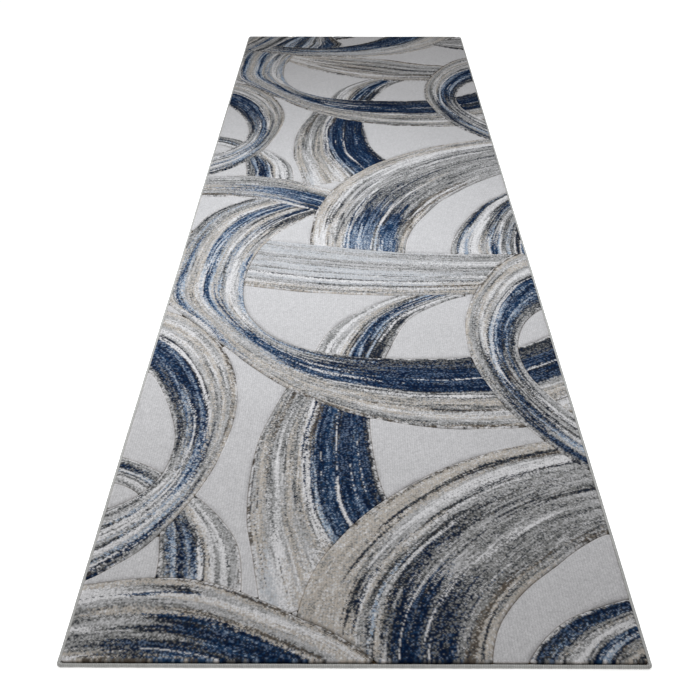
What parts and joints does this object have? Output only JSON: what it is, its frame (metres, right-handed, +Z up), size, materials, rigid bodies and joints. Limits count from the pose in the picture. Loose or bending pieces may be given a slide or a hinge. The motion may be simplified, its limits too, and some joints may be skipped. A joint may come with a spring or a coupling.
{
  "type": "runner rug",
  "caption": "Long narrow cut-pile floor runner with carved sweeping motifs in blue, grey and beige on a silver ground, and an overcast edge all round.",
  "frame": {"origin": "middle of the underside, where the rug lies on the floor", "axes": "+X across the rug's width, +Y along its length, +Z up through the pile"},
  "size_m": [0.8, 3, 0.01],
  "materials": {
    "ground_pile": "soft cut pile, silver white, slight sheen",
    "sweep_pile": "soft cut pile, tufts of navy, blue, grey, taupe and white, slight sheen",
    "overcast_yarn": "matt wound yarn, warm grey",
    "filler_cord": "twisted cord",
    "jute_weft": "coarse jute yarn",
    "warp_yarn": "plied polyester-cotton warp",
    "back_size": "thin dried size over a woven back"
  },
  "bodies": {
    "root": {"back_size": "back_size", "lower_weft": "jute_weft", "stuffer_warp": "warp_yarn", "upper_weft": "jute_weft", "edge_cord_left": "filler_cord", "edge_cord_right": "filler_cord", "edge_cord_near": "filler_cord", "edge_cord_far": "filler_cord", "edge_cord_corners": "filler_cord", "binding_left": "overcast_yarn", "binding_right": "overcast_yarn", "binding_near": "overcast_yarn", "binding_far": "overcast_yarn", "binding_corners": "overcast_yarn", "ground_pile": "ground_pile", "pile_left_fan_near": "sweep_pile", "pile_left_wisp_near": "sweep_pile", "pile_left_ring_near": "sweep_pile", "pile_column_near": "sweep_pile", "pile_near_right_sweep": "sweep_pile", "pile_near_left_sweep": "sweep_pile", "pile_near_corner_sweep": "sweep_pile", "pile_inner_arc_near": "sweep_pile", "pile_light_band": "sweep_pile", "pile_big_ring_near": "sweep_pile", "pile_right_ring_near": "sweep_pile", "pile_left_fan_far": "sweep_pile", "pile_left_wisp_far": "sweep_pile", "pile_left_ring_far": "sweep_pile", "pile_column_far": "sweep_pile", "pile_middle_left_sweep": "sweep_pile", "pile_middle_right_sweep": "sweep_pile", "pile_middle_corner_sweep": "sweep_pile", "pile_inner_arc_far": "sweep_pile", "pile_far_band": "sweep_pile", "pile_big_ring_far": "sweep_pile", "pile_right_ring_far": "sweep_pile", "pile_far_fan": "sweep_pile", "pile_far_sweep": "sweep_pile", "pile_far_left_sweep": "sweep_pile", "pile_far_corner_sweep": "sweep_pile"}
  },
  "joints": []
}
